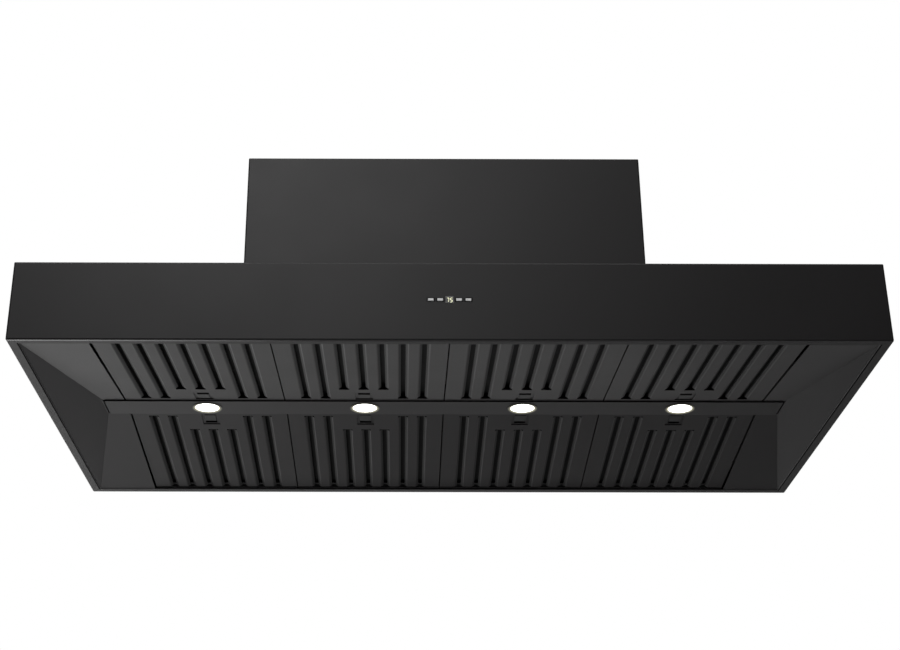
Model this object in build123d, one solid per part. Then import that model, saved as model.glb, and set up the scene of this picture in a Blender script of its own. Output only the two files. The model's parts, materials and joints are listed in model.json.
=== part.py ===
from build123d import *
import math
import os

# Island range hood. X runs along the hood, -Y is the side with the controls, +Z is up.
# The origin is the middle of the ceiling plane, so the whole hood hangs below Z = 0.

# Canopy, the wide box over the island
canopy_width = 1219.0
canopy_depth = 686.0
canopy_height = 117.0
sheet = 1.2
corner_radius = 3.0
edge_radius = 2.0
rim_width = 16.0
hem_radius = 1.5

# Light bar along the ridge of the canopy's underside
bar_inset = 80.5
bar_width = 55.5
bar_depth = 26.0
ridge_height = 29.3
bar_proud = 2.0

# Clearances
seat_gap = 0.3
slide_gap = 0.4
running_gap = 0.05
cover_gap = 1.3
filter_gap = 2.0
bar_gap = 1.2
bar_end_gap = 3.0

# Baffle filters, two rows hinged on the rim's rolled hem
filters_per_row = 4
filter_inset = 113.5
filter_height = 12.0
filter_sheet = 1.0
filter_tail = 10.0
tail_front = 4.0
groove_width = 2.5
groove_lap = 4.0
slot_count = 7
slot_inset = 33.0
slot_opening = 6.8
slot_margin = 10.0
slot_slit = 5.0
latch_room = 60.0
lip_run = 4.5
lip_rise = 2.5
rib_depth = 6.0
channel_width = 20.0
channel_depth = 7.0
channel_margin = 12.0

# Spring latch of a filter
pocket_width = 27.0
pocket_length = 37.0
pocket_depth = 10.0
pocket_margin = 5.0
bezel_recess = 1.5
latch_window_width = 18.4
latch_pad_length = 20.5
latch_pad_recess = 0.6
latch_travel = 6.0
latch_spare = 2.2
carriage_width = 25.0
carriage_height = 2.2
tongue_width = 12.0
tongue_sheet = 0.8
tongue_reach = 3.5
tongue_tip = 2.5
tongue_slot_width = 16.0
tongue_slot_height = 5.0

# Canopy liners at the two ends of the filter rows
liner_flange = 16.0
liner_side_lap = 8.0
liner_end_lap = 4.0
liner_ledge = 8.0
liner_step = 1.0

# Lamps in the light bar
lamp_bezel_radius = 23.5
lamp_body_radius = 22.0
lamp_lens_radius = 19.2
lamp_bezel_height = 0.8
lamp_body_height = 15.0
lamp_recess = 2.2
lens_thickness = 2.0
lens_crown = 0.9

# Controls in the middle of the front fascia
control_height = 61.0
button_count = 4
button_pitch = 13.05
button_width = 9.4
button_height = 4.3
button_proud = 0.9
button_travel = 1.2
button_lip = 1.0
stem_width = 4.0
stem_height = 2.6
display_width = 11.4
display_height = 10.6
display_proud = 0.3
display_lip = 1.2
housing_width = 76.0
housing_height = 26.0
housing_depth = 16.0
housing_wall = 1.6
board_thickness = 1.6
board_inset = 1.0
switch_size = 6.0
switch_height = 4.0

# Telescoping duct cover and its inner frame
cover_width = 621.0
cover_depth = 280.0
cover_height = 283.0
cover_corner = 2.5
cover_flange = 6.0
upper_sheet = 1.0
upper_cover_height = 262.0
extension_travel = 150.0
bracket_sheet = 2.0
bracket_flange = 25.0
duct_opening_length = 400.0
duct_opening_depth = 236.0
ceiling_bolt_x = 500.0
ceiling_bolt_y = 210.0
ceiling_hole_radius = 4.0
post_sheet = 2.0
post_leg = 25.0
post_bend = 3.0
post_length = 245.0
lower_post_length = 238.0
post_foot = 30.0
bolt_radius = 3.0
bolt_head_radius = 6.0
bolt_head_height = 1.4
nut_radius = 5.5
nut_height = 5.0
bolt_below_top = 25.0
bolt_slot_radius = 3.5

# Blower inside the duct cover
airbox_length = 400.0
airbox_depth = 246.0
airbox_height = 165.0
airbox_flange = 12.0
wheel_radius = 75.0
wheel_inner_radius = 61.0
wheel_width = 84.0
wheel_ring = 3.0
blade_count = 24
blade_radius = 8.0
blade_sheet = 1.2
hub_radius = 12.0
hub_length = 20.0
hub_disc = 3.0
shaft_radius = 4.0
wheel_back = 30.0
wheel_rise = 165.0
scroll_start = 88.0
scroll_step = 8.0
scroll_width = 110.0
outlet_inner_edge = 22.0
cutoff_height = 83.0
inlet_radius = 60.0
motor_radius = 38.0
motor_length = 56.0
motor_hub_gap = 6.0
motor_arm_count = 3
motor_arm_width = 14.0
motor_arm_sheet = 3.0
motor_arm_reach = 71.0
collar_radius = 100.0
collar_height = 95.0
collar_flange = 12.0
damper_rise = 14.0
damper_spacing = 4.0
damper_rod_radius = 2.0
damper_sheet = 1.0
damper_clearance = 1.6
wiring_box_length = 56.0
wiring_box_depth = 100.0
wiring_box_height = 50.0
wiring_box_wall = 1.5
wiring_hole_radius = 11.0
wiring_box_gap = 6.0

# Levels and places that follow from the sizes above
cut_extra = 2.0
rim_level = -(canopy_height + cover_height)
canopy_top_level = rim_level + canopy_height
ridge_level = rim_level + ridge_height
hem_level = rim_level + hem_radius
hem_x = canopy_width / 2 - rim_width + hem_radius
hem_y = canopy_depth / 2 - rim_width + hem_radius
fascia_front = -canopy_depth / 2
fascia_back = fascia_front + sheet
control_level = rim_level + control_height
bar_length = canopy_width - 2 * bar_inset

# A filter lies on the hem and rises to the light bar, a liner rises from the hem's inner side
hem_lift = hem_radius + seat_gap
slope_rise = ridge_height + bar_proud - hem_radius
filter_run = hem_y - bar_width / 2 - bar_gap
filter_length = math.sqrt(filter_run**2 + slope_rise**2 - hem_lift**2)
filter_slope = math.atan2(slope_rise, filter_run) - math.atan2(hem_lift, filter_length)
liner_x = hem_x - hem_radius - seat_gap
liner_y = hem_y - hem_radius - seat_gap
filter_pitch = (canopy_width - 2 * filter_inset) / filters_per_row
filter_width = filter_pitch - filter_gap
filter_centres = [(i - (filters_per_row - 1) / 2) * filter_pitch for i in range(filters_per_row)]
filter_block = filters_per_row * filter_pitch / 2
slot_pitch = (filter_width - 2 * slot_inset) / (slot_count - 1)
rib_start = tail_front + groove_width
pocket_centre = filter_length - pocket_margin - pocket_length / 2
tongue_level = bezel_recess + filter_sheet + seat_gap + carriage_height
latch_window_length = seat_gap + latch_pad_length + latch_travel + latch_spare

# Sizes inside the duct cover
upper_width = cover_width - 2 * sheet - 2 * cover_gap
upper_depth = cover_depth - 2 * sheet - 2 * cover_gap
bracket_width = upper_width - 2 * upper_sheet
bracket_depth = upper_depth - 2 * upper_sheet
post_x = bracket_width / 2 - bracket_sheet
post_y = bracket_depth / 2 - bracket_sheet
lower_post_x = post_x - post_sheet - slide_gap
lower_post_y = post_y - post_sheet - slide_gap
bolt_level = canopy_top_level + lower_post_length - bolt_below_top
airbox_top_level = canopy_top_level + airbox_height
wheel_level = rim_level + wheel_rise
wiring_box_x = airbox_length / 2 + airbox_flange + wiring_box_gap + wiring_box_length / 2

BOTTOM = (Align.CENTER, Align.CENTER, Align.MIN)


def block(x, y, z):
    """Box between two corners, given as (low, high) pairs along each axis."""
    size = [high - low for low, high in (x, y, z)]
    middle = [(high + low) / 2 for low, high in (x, y, z)]
    return Pos(*middle) * Box(*size)


def sheet_tube(width, depth, low, high, wall, radius):
    """Upright rectangular tube of folded sheet between two levels."""
    outer = RectangleRounded(width, depth, radius)
    inner = RectangleRounded(width - 2 * wall, depth - 2 * wall, max(radius - wall, wall / 4))
    return Pos(0, 0, low) * extrude(outer - inner, high - low)


def rod(start, end, radius):
    """Round bar between two points."""
    path = Vector(*end) - Vector(*start)
    return extrude(Plane(origin=start, z_dir=path) * Circle(radius), path.length)


def four_corners(piece):
    """A piece in the +X +Y corner and its copies in the other three corners."""
    across = [piece, mirror(piece, Plane.YZ)]
    return across + [mirror(one, Plane.XZ) for one in across]


def button_places():
    """Middle of each button along X, with the display's place left free between them."""
    half = button_count // 2
    return [side * (i + 1) * button_pitch for side in (-1, 1) for i in range(half)]


def canopy_shell():
    """Four fascia walls with the flange turned in below them and its rolled hem."""
    outline = RectangleRounded(canopy_width, canopy_depth, corner_radius)
    shell = Pos(0, 0, rim_level) * extrude(outline, canopy_height)
    shell = fillet(shell.edges().group_by(Axis.Z)[0], edge_radius)
    inside = RectangleRounded(
        canopy_width - 2 * sheet, canopy_depth - 2 * sheet, max(corner_radius - sheet, sheet / 4)
    )
    shell -= Pos(0, 0, rim_level + sheet) * extrude(inside, canopy_height)
    shell -= Pos(0, 0, rim_level - cut_extra) * extrude(Rectangle(2 * hem_x, 2 * hem_y), canopy_height)
    hems = []
    for side in (-1, 1):
        hems.append(rod((-hem_x, side * hem_y, hem_level), (hem_x, side * hem_y, hem_level), hem_radius))
        hems.append(rod((side * hem_x, -hem_y, hem_level), (side * hem_x, hem_y, hem_level), hem_radius))
    shell += hems + four_corners(Pos(hem_x, hem_y, hem_level) * Sphere(hem_radius))
    wall = (fascia_front - cut_extra, fascia_back + cut_extra)
    for x in button_places():
        half_width = button_width / 2 + seat_gap
        half_height = button_height / 2 + seat_gap
        shell -= block(
            (x - half_width, x + half_width), wall, (control_level - half_height, control_level + half_height)
        )
    half_width = display_width / 2 + seat_gap
    half_height = display_height / 2 + seat_gap
    return shell - block(
        (-half_width, half_width), wall, (control_level - half_height, control_level + half_height)
    )


def canopy_top():
    """Plate closing the canopy, with the opening under the airbox."""
    width, depth = canopy_width - 2 * sheet, canopy_depth - 2 * sheet
    plate = RectangleRounded(width, depth, corner_radius)
    opening = Rectangle(airbox_length - 2 * airbox_flange, airbox_depth - 2 * airbox_flange)
    return Pos(0, 0, canopy_top_level - sheet) * extrude(plate - opening, sheet)


def roof_body():
    """Solid below the liners: a hip roof that runs from just above the rim up to the light bar."""
    height = ridge_height + bar_proud
    rise = height - liner_step
    top_x, top_y = bar_length / 2 + bar_end_gap, bar_width / 2 + bar_gap
    end_run, side_run = (liner_x - top_x) * height / rise, (liner_y - top_y) * height / rise
    base_x, base_y = top_x + end_run, top_y + side_run
    body = Wedge(
        2 * base_x, height, 2 * base_y, end_run, side_run, 2 * base_x - end_run, 2 * base_y - side_run,
        align=(Align.CENTER, Align.MAX, Align.CENTER),
    )
    return Pos(0, 0, ridge_level + bar_proud) * Rot(90, 0, 0) * body


def left_liner():
    """Folded panel that closes the end of the pan: two blank slopes and the hip between them inside the rim,
    an edge that steps up over the hem, and a ledge that the end of the light bar hangs from."""
    roof = roof_body()
    inner_edge = -(filter_block + filter_gap)
    past_edge = inner_edge + cut_extra
    ridge_end, ridge_half = -(bar_length / 2 + bar_end_gap), bar_width / 2 + bar_gap
    heights = (rim_level, canopy_top_level)
    inside = block((-liner_x, inner_edge), (-liner_y, liner_y), heights)
    panel = (Pos(0, 0, sheet) * roof - roof) & inside
    panel -= block((ridge_end, past_edge), (-ridge_half, ridge_half), heights)
    lap_level = hem_level + hem_lift
    lap_y = hem_y + liner_side_lap
    lap = (lap_level, lap_level + sheet)
    hollow = block((sheet - liner_x, past_edge), (sheet - liner_y, liner_y - sheet), heights)
    step = block((-liner_x, inner_edge), (-liner_y, liner_y), (rim_level, lap_level + sheet)) - roof
    step += block((-(hem_x + liner_end_lap), inner_edge), (-lap_y, lap_y), lap)
    edge_flange = (Pos(0, 0, liner_flange) * roof - roof) & block(
        (inner_edge - sheet, inner_edge), (-liner_y, liner_y), heights
    )
    edge_flange -= block((inner_edge - cut_extra, past_edge), (-ridge_half, ridge_half), heights)
    bar_top = ridge_level + bar_depth
    end_flange = block(
        (ridge_end - sheet, ridge_end),
        (-ridge_half, ridge_half),
        (ridge_level + bar_proud - sheet / 2, bar_top + sheet),
    )
    ledge = block(
        (ridge_end - sheet, ridge_end + bar_end_gap + liner_ledge),
        (-ridge_half, ridge_half),
        (bar_top, bar_top + sheet),
    )
    return panel + (step - hollow) + edge_flange + end_flange + ledge


def tongue_slot_level():
    """Level of a latch tongue where it enters the light bar."""
    along = filter_length + bar_gap
    above = hem_lift + tongue_level + tongue_sheet / 2
    return hem_level + along * math.sin(filter_slope) + above * math.cos(filter_slope)


def light_bar():
    """Channel along the ridge, with lamp holes in its face and tongue slots in its walls."""
    half_length, half_width = bar_length / 2, bar_width / 2
    bar_top = ridge_level + bar_depth
    bar = block((-half_length, half_length), (-half_width, half_width), (ridge_level, bar_top))
    bar -= block(
        (-half_length + sheet, half_length - sheet),
        (-half_width + sheet, half_width - sheet),
        (ridge_level + sheet, bar_top + cut_extra),
    )
    slot_level = tongue_slot_level()
    for x in filter_centres:
        bar -= Pos(x, 0, ridge_level) * Cylinder(lamp_body_radius + seat_gap, 2 * bar_depth)
        bar -= block(
            (x - tongue_slot_width / 2, x + tongue_slot_width / 2),
            (-half_width - cut_extra, half_width + cut_extra),
            (slot_level - tongue_slot_height / 2, slot_level + tongue_slot_height / 2),
        )
    return bar


def lamp_housing():
    """Lamp body with its bezel below the light bar and a recess for the lens."""
    body = Cylinder(lamp_bezel_radius, lamp_bezel_height, align=(Align.CENTER, Align.CENTER, Align.MAX))
    body += Cylinder(lamp_body_radius, lamp_body_height, align=BOTTOM)
    recess = Cylinder(lamp_lens_radius + seat_gap, lamp_recess, align=BOTTOM)
    return body - Pos(0, 0, -lamp_bezel_height) * recess


def lamp_lens():
    """Round diffuser with a slightly crowned face."""
    dome_radius = (lamp_lens_radius**2 + lens_crown**2) / (2 * lens_crown)
    disc = Cylinder(lamp_lens_radius, lens_thickness, align=(Align.CENTER, Align.CENTER, Align.MAX))
    disc &= Pos(0, 0, dome_radius - lens_thickness) * Sphere(dome_radius)
    return Pos(0, 0, lamp_recess - lamp_bezel_height) * disc


def bent_lip(run):
    """Edge of a slot bent up out of the face, first at a slant, on the +X side of the slot's middle."""
    outside = slot_opening / 2
    inside = outside + filter_sheet
    edge = outside + lip_run
    outline = Polyline(
        (edge, 0), (outside, lip_rise), (outside, rib_depth), (inside, rib_depth),
        (inside, lip_rise + filter_sheet / 2), (edge, filter_sheet), close=True,
    )
    return Pos(0, rib_start, 0) * extrude(Plane.XZ * make_face(outline), -run)


def latch_pocket():
    """Cup behind the face that holds the latch, open below and towards the light bar."""
    outer = block(
        (-pocket_width / 2 - filter_sheet, pocket_width / 2 + filter_sheet),
        (-pocket_length / 2 - filter_sheet, pocket_length / 2 + filter_sheet),
        (0, pocket_depth),
    )
    half_width, half_length = pocket_width / 2, pocket_length / 2
    cup = outer - block(
        (-half_width, half_width), (-half_length, half_length), (-cut_extra, pocket_depth - filter_sheet)
    )
    bezel = Rectangle(pocket_width, pocket_length) - Rectangle(latch_window_width, latch_window_length)
    return Pos(0, pocket_centre, 0) * (cup + Pos(0, 0, bezel_recess) * extrude(bezel, filter_sheet))


def slot_end(slot):
    """Where a slot ends: short of the latch for the three slots in the middle."""
    beside_latch = abs(slot - (slot_count - 1) / 2) <= 1
    return filter_length - (latch_room if beside_latch else slot_margin)


def slot_x(place):
    """Middle of a slot across the filter, or of a rib for a place half way between two slots."""
    return (place - (slot_count - 1) / 2) * slot_pitch


def filter_face():
    """Pressed face of a filter: ribs with bent edges, side walls, tail rail and latch pocket."""
    half = filter_width / 2
    wall_height = filter_height - filter_sheet
    plate = block((-half, half), (rib_start, filter_length), (0, filter_sheet))
    window = slot_opening / 2 + lip_run
    lips = []
    for slot in range(slot_count):
        x, end = slot_x(slot), slot_end(slot)
        plate -= block((x - window, x + window), (0, end), (-cut_extra, cut_extra))
        lip = bent_lip(end - slot_slit - rib_start)
        lips += [Pos(x, 0, 0) * lip, Pos(x, 0, 0) * mirror(lip, Plane.YZ)]
    pocket_hole = Pos(0, pocket_centre, 0) * Box(pocket_width, pocket_length, 2 * cut_extra)
    groove = block(
        (-half, half),
        (tail_front - filter_sheet, rib_start + groove_lap),
        (rib_depth - filter_sheet, rib_depth),
    )
    tail = block((-half, half), (-filter_tail, tail_front), (0, filter_sheet))
    walls = [
        block((-half, half), (y, y + filter_sheet), (0, wall_height))
        for y in (-filter_tail, tail_front - filter_sheet, filter_length - filter_sheet)
    ]
    sides = [
        block((x, x + filter_sheet), (-filter_tail, filter_length), (0, wall_height))
        for x in (-half, half - filter_sheet)
    ]
    face = (plate - pocket_hole) + lips + [groove, tail, latch_pocket()] + walls + sides
    passage = block(
        (-tongue_slot_width / 2, tongue_slot_width / 2),
        (pocket_centre + pocket_length / 2 - filter_sheet, filter_length + cut_extra),
        (tongue_level - tongue_slot_height / 2, tongue_level + tongue_slot_height / 2),
    )
    return Pos(0, 0, hem_lift) * (face - passage)


def filter_baffle():
    """Rear sheet of a filter: channels that stand over the slots, on top of the face's walls."""
    half = filter_width / 2
    low, high = filter_height - filter_sheet, filter_height
    plate = block((-half, half), (-filter_tail, filter_length), (low, high))
    start = rib_start + channel_margin
    legs = []
    for slot in range(slot_count):
        for side in (-1, 1):
            edge = slot_x(slot) + side * channel_width / 2
            leg = sorted((edge, edge - side * filter_sheet))
            legs.append(block(leg, (start, slot_end(slot) - channel_margin), (high - channel_depth, low)))
    half_vent = (slot_pitch - channel_width) / 2
    for rib in range(slot_count + 1):
        x = slot_x(rib - 0.5)
        end = min(slot_end(slot) for slot in (rib - 1, rib) if 0 <= slot < slot_count) - channel_margin
        plate -= block((x - half_vent, x + half_vent), (start, end), (low - cut_extra, high + cut_extra))
    return Pos(0, 0, hem_lift) * (plate + legs)


def filter_latch():
    """Sliding catch: a finger pad in the pocket's window on a carriage behind the bezel."""
    window_end = pocket_centre + latch_window_length / 2 - seat_gap
    pad_half = latch_window_width / 2 - seat_gap
    carriage_low = bezel_recess + filter_sheet + seat_gap
    pad_start = window_end - latch_pad_length
    pad = block((-pad_half, pad_half), (pad_start, window_end), (latch_pad_recess, carriage_low))
    pad = fillet(pad.edges().group_by(Axis.Z)[0], latch_pad_recess)
    carriage_end = pocket_centre + pocket_length / 2 - seat_gap
    carriage = block(
        (-carriage_width / 2, carriage_width / 2), (pad_start, carriage_end), (carriage_low, tongue_level)
    )
    return Pos(0, 0, hem_lift) * (pad + carriage)


def filter_tongue():
    """Leaf spring on the carriage, whose bent tip reaches through the light bar's wall."""
    tip_end = filter_length + bar_gap + sheet + tongue_reach
    tip_start = tip_end - tongue_tip
    side = Polyline(
        (pocket_centre, 0),
        (tip_start, 0),
        (tip_end, tongue_sheet),
        (tip_end, 2 * tongue_sheet),
        (tip_start, tongue_sheet),
        (pocket_centre, tongue_sheet),
        close=True,
    )
    leaf = extrude(Plane.YZ * make_face(side), tongue_width / 2, both=True)
    return Pos(0, 0, hem_lift + tongue_level) * leaf


def filter_places():
    """Where each filter lies: the front row from left to right, then the back row."""
    tilt = Rot(math.degrees(filter_slope), 0, 0)
    front = [Pos(x, -hem_y, hem_level) * tilt for x in filter_centres]
    back = [Pos(x, hem_y, hem_level) * Rot(0, 0, 180) * tilt for x in filter_centres]
    return front + back


def control_button():
    """Push button in the fascia, with its retaining lip and the stem to its switch."""
    def bar(width, height, front, back):
        return block((-width / 2, width / 2), (front, back), (-height / 2, height / 2))

    lip_front = fascia_back + seat_gap
    cap = bar(button_width, button_height, fascia_front - button_proud, lip_front)
    cap = fillet(cap.edges().group_by(Axis.Y)[0], button_proud / 2)
    lip_back = lip_front + button_lip
    lip = bar(button_width + 2 * button_lip, button_height + 2 * button_lip, lip_front, lip_back)
    stem_end = board_front() - switch_height - button_travel - seat_gap
    return cap + lip + bar(stem_width, stem_height, lip_back, stem_end)


def board_front():
    """Front of the control board, which closes the back of the control housing."""
    return fascia_back + housing_depth - board_inset - board_thickness


def display_window():
    """Window of the speed display, with the lip that holds it behind the fascia."""
    def pane(width, height, front, back):
        return block(
            (-width / 2, width / 2), (front, back), (control_level - height / 2, control_level + height / 2)
        )

    window = pane(display_width, display_height, fascia_front - display_proud, fascia_back)
    window = fillet(window.edges().group_by(Axis.Y)[0], display_proud)
    return window + pane(display_width + 2 * display_lip, display_height + 2 * display_lip,
                         fascia_back, fascia_back + display_lip)


def control_housing():
    """Frame behind the fascia that carries the control board."""
    outer = Rectangle(housing_width, housing_height)
    inner = Rectangle(housing_width - 2 * housing_wall, housing_height - 2 * housing_wall)
    frame = extrude(Plane.XZ * (outer - inner), -housing_depth)
    return Pos(0, fascia_back, control_level) * frame


def control_board():
    """Circuit board with a switch behind each button and the display module."""
    front = board_front()
    half_width = housing_width / 2 - housing_wall - seat_gap
    half_height = housing_height / 2 - housing_wall - seat_gap
    board = block((-half_width, half_width), (front, front + board_thickness), (-half_height, half_height))
    half = switch_size / 2
    for x in button_places():
        board += block((x - half, x + half), (front - switch_height, front), (-half, half))
    module_front = fascia_back + display_lip + seat_gap
    board += block(
        (-display_width / 2, display_width / 2),
        (module_front, front),
        (-display_height / 2, display_height / 2),
    )
    return Pos(0, 0, control_level) * board


def lower_cover():
    """Outer duct cover, standing on the canopy with a flange turned in at its foot."""
    tube = sheet_tube(cover_width, cover_depth, canopy_top_level, 0, sheet, cover_corner)
    flange = sheet_tube(
        cover_width - sheet, cover_depth - sheet, canopy_top_level, canopy_top_level + sheet,
        cover_flange, cover_corner,
    )
    return tube + flange


def upper_cover():
    """Inner duct cover, which stays at the ceiling while the hood hangs lower."""
    return sheet_tube(upper_width, upper_depth, -upper_cover_height, 0, upper_sheet, cover_corner)


def ceiling_bracket():
    """Tray bolted to the ceiling, open in the middle for the duct."""
    tray = sheet_tube(bracket_width, bracket_depth, -bracket_flange, 0, bracket_sheet, cover_corner)
    plate = Rectangle(bracket_width - bracket_sheet, bracket_depth - bracket_sheet)
    plate -= Rectangle(duct_opening_length, duct_opening_depth)
    corners = GridLocations(ceiling_bolt_x, ceiling_bolt_y, 2, 2)
    plate -= [place * Circle(ceiling_hole_radius) for place in corners]
    return tray + Pos(0, 0, -bracket_sheet) * extrude(plate, bracket_sheet)


def angle_post(x, y, low, high):
    """Upright angle in the +X +Y corner, with its outside at x and y."""
    square = Pos(x - post_leg / 2, y - post_leg / 2) * Rectangle(post_leg, post_leg)
    section = square - Pos(-post_sheet, -post_sheet) * square
    section = fillet(section.vertices().sort_by_distance((x, y, 0))[0], post_bend)
    return Pos(0, 0, low) * extrude(section, high - low)


def post_bolt_x():
    """Middle of the posts' bolts along X, on the legs that face front and back."""
    return lower_post_x - post_leg / 2


def upper_posts():
    """Slotted angles that hang from the ceiling bracket."""
    post = angle_post(post_x, post_y, -bracket_sheet - post_length, -bracket_sheet)
    slot = SlotOverall(extension_travel + 4 * bolt_slot_radius, 2 * bolt_slot_radius)
    slot_middle = bolt_level - extension_travel / 2
    cutter = extrude(Plane.XZ * Rot(0, 0, 90) * slot, post_leg, both=True)
    return Compound(four_corners(post - Pos(post_bolt_x(), post_y, slot_middle) * cutter))


def lower_posts():
    """Angles that stand on the canopy inside the upper posts."""
    top = canopy_top_level + lower_post_length
    post = angle_post(lower_post_x, lower_post_y, canopy_top_level, top)
    foot_x, foot_y = lower_post_x - post_sheet, lower_post_y - post_sheet
    post += block(
        (foot_x - post_foot, foot_x + post_sheet / 2),
        (foot_y - post_foot, foot_y + post_sheet / 2),
        (canopy_top_level, canopy_top_level + post_sheet),
    )
    x, end = post_bolt_x(), lower_post_y + post_sheet
    post -= rod((x, end - post_leg, bolt_level), (x, end, bolt_level), bolt_radius + seat_gap)
    return Compound(four_corners(post))


def post_bolts():
    """Bolts that clamp the posts at the chosen height, each with its nut."""
    x, z = post_bolt_x(), bolt_level
    head_back = post_y + seat_gap
    nut_front = lower_post_y - post_sheet
    bolt = rod((x, head_back, z), (x, head_back + bolt_head_height, z), bolt_head_radius)
    bolt += rod((x, nut_front - nut_height - post_sheet, z), (x, head_back, z), bolt_radius)
    nut = extrude(Plane.XZ * RegularPolygon(nut_radius, 6), nut_height)
    return Compound(four_corners(bolt + Pos(x, nut_front, z) * nut))


def airbox():
    """Sheet box on the canopy that encloses the blower, open below."""
    half_x, half_y = airbox_length / 2, airbox_depth / 2
    box = block((-half_x, half_x), (-half_y, half_y), (canopy_top_level, airbox_top_level))
    box -= block(
        (-half_x + sheet, half_x - sheet),
        (-half_y + sheet, half_y - sheet),
        (canopy_top_level - cut_extra, airbox_top_level - sheet),
    )
    ears = [
        block(sorted((side * (half_x - sheet), side * (half_x + airbox_flange))), (-half_y, half_y),
              (canopy_top_level, canopy_top_level + sheet))
        for side in (-1, 1)
    ]
    outlet = Cylinder(collar_radius - sheet, 2 * airbox_flange)
    return box + ears - Pos(0, 0, airbox_top_level) * outlet


def scroll_outline(inset):
    """Outline of the volute around the wheel's middle, drawn in by inset. Three quarter arcs grow by one step
    each from the cut-off and run out into a straight outlet that points up."""
    radii = [scroll_start + i * scroll_step for i in range(3)]
    top = airbox_top_level - sheet - wheel_level
    left_centre, low_centre = (0, 0), (scroll_step, 0)
    right_centre = (scroll_step, scroll_step)
    right_edge = scroll_step + radii[2] - inset
    inner_edge = outlet_inner_edge + inset
    walls = (
        CenterArc(left_centre, radii[0] - inset, 90, 90)
        + CenterArc(low_centre, radii[1] - inset, 180, 90)
        + CenterArc(right_centre, radii[2] - inset, 270, 90)
        + Polyline(
            (right_edge, scroll_step), (right_edge, top), (inner_edge, top),
            (inner_edge, cutoff_height - inset), (0, radii[0] - inset),
        )
    )
    return make_face(walls)


def blower_volute():
    """Scroll housing with an inlet on each side, hung by its outlet from the airbox's top."""
    outside = extrude(Plane.YZ * scroll_outline(0), scroll_width / 2, both=True)
    inside = extrude(Plane.YZ * scroll_outline(sheet), scroll_width / 2 - sheet, both=True)
    outlet = block(
        (-scroll_width / 2 + sheet, scroll_width / 2 - sheet),
        (outlet_inner_edge + sheet, 2 * scroll_step + scroll_start + scroll_step - sheet),
        (cutoff_height + scroll_step, airbox_top_level - wheel_level + cut_extra),
    )
    inlets = rod((-scroll_width, 0, 0), (scroll_width, 0, 0), inlet_radius)
    return Pos(0, -wheel_back, wheel_level) * (outside - inside - outlet - inlets)


def blower_wheel():
    """Squirrel-cage wheel: forward-curved blades between two rings, with a hub disc and its shaft."""
    half = wheel_width / 2
    ring = Circle(wheel_radius) - Circle(wheel_inner_radius)
    rings = [
        Pos(x, 0, 0) * extrude(Plane.YZ * ring, wheel_ring) for x in (-half, half - wheel_ring)
    ]
    middle_radius = (wheel_radius + wheel_inner_radius) / 2
    chord = wheel_radius - wheel_inner_radius - blade_sheet
    bow = Circle(blade_radius) - Circle(blade_radius - blade_sheet)
    section = bow & Pos(0, blade_radius) * Rectangle(chord, blade_radius)
    blade = Plane.YZ * Pos(middle_radius, -blade_radius) * section
    blade = extrude(blade, half - wheel_ring / 2, both=True)
    blades = [Rot(360 * i / blade_count, 0, 0) * blade for i in range(blade_count)]
    disc = rod((-hub_disc / 2, 0, 0), (hub_disc / 2, 0, 0), middle_radius)
    boss = rod((0, 0, 0), (hub_length, 0, 0), hub_radius)
    shaft = rod((-motor_hub_gap - motor_length / 2, 0, 0), (hub_length, 0, 0), shaft_radius)
    return Pos(0, -wheel_back, wheel_level) * (disc + boss + shaft + rings + blades)


def blower_motor():
    """Motor inside the wheel, carried by arms on the volute's left side."""
    front = -motor_hub_gap
    back = front - motor_length
    body = rod((back, 0, 0), (front, 0, 0), motor_radius)
    bore_end = front - motor_length / 2 - cut_extra
    body -= rod((bore_end, 0, 0), (front + cut_extra, 0, 0), shaft_radius + running_gap)
    arm_face = -scroll_width / 2
    arm = block(
        (arm_face - motor_arm_sheet, arm_face),
        (0, motor_arm_reach),
        (-motor_arm_width / 2, motor_arm_width / 2),
    )
    arms = [Rot(360 * i / motor_arm_count, 0, 0) * arm for i in range(motor_arm_count)]
    return Pos(0, -wheel_back, wheel_level) * (body + arms)


def damper_axles():
    """Middle of each damper rod along X, left then right, and their level."""
    return [-damper_spacing, damper_spacing], airbox_top_level + damper_rise


def outlet_collar():
    """Round duct collar on the airbox, drilled for the damper rods."""
    tube = Circle(collar_radius) - Circle(collar_radius - sheet)
    flange = Circle(collar_radius + collar_flange) - Circle(collar_radius - sheet)
    collar = Pos(0, 0, airbox_top_level) * (extrude(tube, collar_height) + extrude(flange, sheet))
    places, level = damper_axles()
    reach = collar_radius + collar_flange
    for x in places:
        collar -= rod((x, -reach, level), (x, reach, level), damper_rod_radius + running_gap)
    return collar


def damper_flap(side):
    """Half-round backdraft flap on its rod, side -1 for left and 1 for right."""
    places, level = damper_axles()
    x = places[0] if side < 0 else places[1]
    radius = collar_radius - sheet - damper_clearance
    disc = Pos(0, 0, level) * Cylinder(radius, damper_sheet)
    far = side * collar_radius
    half = disc & block(sorted((x, far)), (-radius, radius), (level - radius, level + radius))
    rod_end = math.sqrt((collar_radius - sheet / 2) ** 2 - x**2)
    return half + rod((x, -rod_end, level), (x, rod_end, level), damper_rod_radius)


def wiring_box():
    """Junction box on the canopy, with the hole for its cable gland."""
    box = Box(wiring_box_length, wiring_box_depth, wiring_box_height, align=BOTTOM)
    hollow = Box(
        wiring_box_length - 2 * wiring_box_wall,
        wiring_box_depth - 2 * wiring_box_wall,
        wiring_box_height - 2 * wiring_box_wall,
        align=BOTTOM,
    )
    box -= Pos(0, 0, wiring_box_wall) * hollow
    box -= Pos(0, 0, wiring_box_height) * Cylinder(wiring_hole_radius, 4 * wiring_box_wall)
    return Pos(-wiring_box_x, 0, canopy_top_level) * box


def write(name, piece):
    """Save one named piece."""
    export_step(piece, f"parts/{name}.step")


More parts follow.
